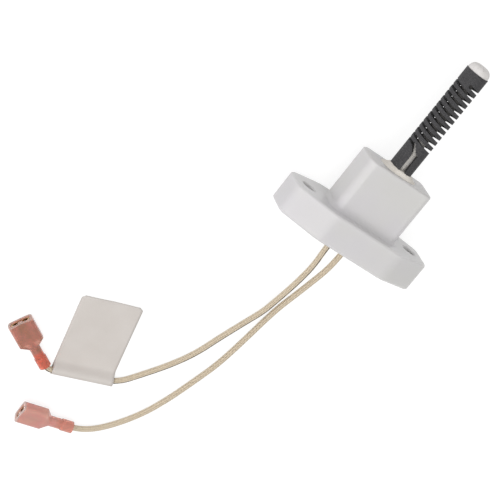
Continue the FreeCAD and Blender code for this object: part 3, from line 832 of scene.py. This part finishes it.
def braid(frames, length, tracer):
    bm = bmesh.new()
    bm.loops.layers.uv.new("UVMap")
    rows = len(frames) - 1
    turns = math.tau * length / TURN_LENGTH
    slope = math.atan2(math.tau * BRAID_RADIUS, TURN_LENGTH)
    yarn_half_turn = YARN_WIDTH / 2 / math.cos(slope) / BRAID_RADIUS
    for way in (1, -1):
        for number in range(YARNS_EACH_WAY):
            start = math.tau * (number + (0.5 if way < 0 else 0.0)) / YARNS_EACH_WAY
            wander = 0.03 * math.sin(number * 2.4 + way)

            def yarn_point(column, row):
                turn, lift = ribbon_corner(column, yarn_half_turn, YARN_HALF_THICKNESS)
                angle = start + way * turns * row / rows + wander * math.sin(row * 0.05 + start)
                crossing = YARNS_EACH_WAY * turns * row / rows
                radius = BRAID_RADIUS + way * WEAVE_HEIGHT * math.cos(crossing)
                return around(frames[row], angle + turn, radius + lift)

            wrapped_grid(bm, 4, rows, yarn_point)

    def thread_point(column, row):
        turn, lift = ribbon_corner(column, THREAD_WIDTH / 2 / BRAID_RADIUS, THREAD_HALF_THICKNESS)
        dive = min(noise.noise(Vector((row * 0.024, 3.0, 0.0))), 0.1)
        angle = THREAD_TURN + 0.12 * noise.noise(Vector((row * 0.01, 8.0, 0.0)))
        radius = BRAID_RADIUS + THREAD_LIFT + THREAD_DIVE * dive
        return around(frames[row], angle + turn, radius + lift)

    if tracer:
        wrapped_grid(bm, 4, rows, thread_point, 1)

    def lining_point(column, row):
        angle = math.tau * column / LINING_COLUMNS
        return around(frames[row * LINING_STEP], angle, BRAID_RADIUS - LINING_DEPTH)

    # the lining carries the painted shade in the gaps between the yarns
    wrapped_grid(bm, LINING_COLUMNS, rows // LINING_STEP, lining_point, 2)
    close_up(bm)
    return bm


for side in ("left", "right"):
    frames, length = even_frames(LINES[side], BRAID_ROWS)
    finish_piece(
        f"{side}_braided_lead",
        braid(frames, length, side == "left"),
        [cream_yarn, dark_thread, gap_shade_lining],
        f"{side}_lead",
    )

# %% [markdown]
# Inside each sleeve is the conductor, seven wires twisted together. It shows only between the
# sleeve and the crimp, through the nylon, but it is there all the way, as in a real lead. Its
# section is a circle with seven lobes, which turns slowly as it goes along the same line.

# %% Wire strands
STRANDS_RADIUS = 0.58 * MM
LOBES = 7
LOBE_DEPTH = 0.14
LAY = 9.0 * MM
STRANDS_TOP = 10.8 * MM
CRIMPED = 7.8 * MM
STRAND_COLUMNS = 42
STRAND_ROWS = 700


def strand_bundle(side):
    line = LINES[side]
    top = Vector((line[0].x, STRANDS_TOP, line[0].z))
    into = (line[-1] - line[-2]).normalized()
    frames, length = even_frames([top, *line, line[-1] + into * CRIMPED], STRAND_ROWS)
    bm = bmesh.new()
    bm.loops.layers.uv.new("UVMap")

    def strand_point(column, row):
        share = column / STRAND_COLUMNS
        lobe = abs(math.sin(math.pi * LOBES * share))
        angle = math.tau * (share + length * row / STRAND_ROWS / LAY)
        return around(frames[row], angle, STRANDS_RADIUS * (1 - LOBE_DEPTH + LOBE_DEPTH * lobe))

    wrapped_grid(bm, STRAND_COLUMNS, STRAND_ROWS, strand_point)
    close_up(bm)
    return bm


for side in ("left", "right"):
    finish_piece(
        f"{side}_wire_strands", strand_bundle(side), [bare_wire], f"{side}_strands"
    )

# %% [markdown]
# ## Terminals
# A push-on terminal is a brass receptacle with two rolled edges that grip a flat tab. It is
# crimped on the strands, and a copper-red sleeve supports the crimp. A nylon housing covers it
# all and is open only at the mouth. The nylon lets part of the light through and is tinted, so
# it is one Principled shader with some transmission and not a mix of glass and plastic.

# %% Terminals
for side, nylon_finish in (("left", left_nylon), ("right", right_nylon)):
    merged_copy(f"{side}_terminal_housing", f"{side}_nylon_housing", nylon_finish)
    merged_copy(f"{side}_receptacle", f"{side}_brass_receptacle", brass)
    merged_copy(f"{side}_crimp_sleeve", f"{side}_copper_sleeve", copper_red)

# %% [markdown]
# ## Label
# A strip of coated paper is folded round the left lead and stuck to itself, so it is a flag of
# two layers with a loop at the lead. One long strip is bent along its length: in along the
# upper layer, round the lead, and back under the first layer. Its free corners are rounded, and
# it lifts a little towards them, as paper does. A Solidify modifier gives it its thickness.

# %% Folded label
PAPER = 0.12 * MM
LABEL_WIDTH = 25.2 * MM
LABEL_REACH = 34.15 * MM
LABEL_CORNER = 1.5 * MM
LABEL_SKEW = 2.2 * MM
LABEL_PLACE = Vector((-45.6, -117.75, -12.75)) * MM
LABEL_TURN = math.radians(17.6)
UPPER, LOWER = -1.625 * MM, -1.77 * MM
RISE_STARTS = 4.6 * MM
LOOP_RADIUS = 1.76 * MM
LOOP_STARTS, LOOP_ENDS = math.radians(62), math.radians(270)
UPPER_STEPS, RISE_STEPS, LOOP_STEPS, LOWER_STEPS = 30, 10, 24, 31
CORNER_LIFT = 0.45 * MM
RIPPLE = 0.12 * MM


def bezier(a, b, c, d, t):
    first, second, third = a.lerp(b, t), b.lerp(c, t), c.lerp(d, t)
    return first.lerp(second, t).lerp(second.lerp(third, t), t)


def fold_line():
    """Points across the fold: along the upper layer, round the lead and back below."""
    upper = [i / UPPER_STEPS for i in range(UPPER_STEPS)]
    points = [Vector((LABEL_REACH + (RISE_STARTS - LABEL_REACH) * share, UPPER)) for share in upper]
    meet = Vector((math.cos(LOOP_STARTS), math.sin(LOOP_STARTS))) * LOOP_RADIUS
    lean = Vector((math.sin(LOOP_STARTS), -math.cos(LOOP_STARTS))) * 1.5 * MM
    rise = [Vector((RISE_STARTS, UPPER)), Vector((RISE_STARTS - 1.7 * MM, UPPER)), meet + lean, meet]
    points += [bezier(*rise, i / RISE_STEPS) for i in range(RISE_STEPS)]
    for i in range(LOOP_STEPS + 1):
        turn = LOOP_STARTS + (LOOP_ENDS - LOOP_STARTS) * i / LOOP_STEPS
        points.append(Vector((math.cos(turn), math.sin(turn))) * LOOP_RADIUS)
    points += [Vector((LABEL_REACH * i / LOWER_STEPS, LOWER)) for i in range(1, LOWER_STEPS + 1)]
    return points


fold = fold_line()
WIDE, LONG = 24, len(fold) - 1
bm = bmesh.new()
bm.loops.layers.uv.new("UVMap")
made = bmesh.ops.create_grid(bm, x_segments=WIDE, y_segments=LONG, size=0.5, calc_uvs=True)
for vertex in made["verts"]:
    across = vertex.co.x
    point = fold[round((vertex.co.y + 0.5) * LONG)]
    to_edge = LABEL_REACH - point.x
    half = LABEL_WIDTH / 2
    if to_edge < LABEL_CORNER:
        half -= LABEL_CORNER - math.sqrt(max(LABEL_CORNER**2 - (LABEL_CORNER - to_edge) ** 2, 0.0))
    out = max(point.x, 0.0) / LABEL_REACH
    lift = CORNER_LIFT * out**2 * (0.35 + abs(across))
    lift += RIPPLE * out * (1 + math.sin(9 * across + 4 * out))
    vertex.co = Vector((across * 2 * half + LABEL_SKEW * out, point.x, point.y + lift))
turned = Matrix.Translation(LABEL_PLACE) @ Matrix.Rotation(LABEL_TURN, 4, "Z")
bmesh.ops.transform(bm, matrix=turned, verts=bm.verts)
label = finish_piece("folded_label", bm, [paper], "lead_label")
solid = label.modifiers.new("paper_thickness", "SOLIDIFY")
solid.thickness = PAPER
solid.offset = 0.0
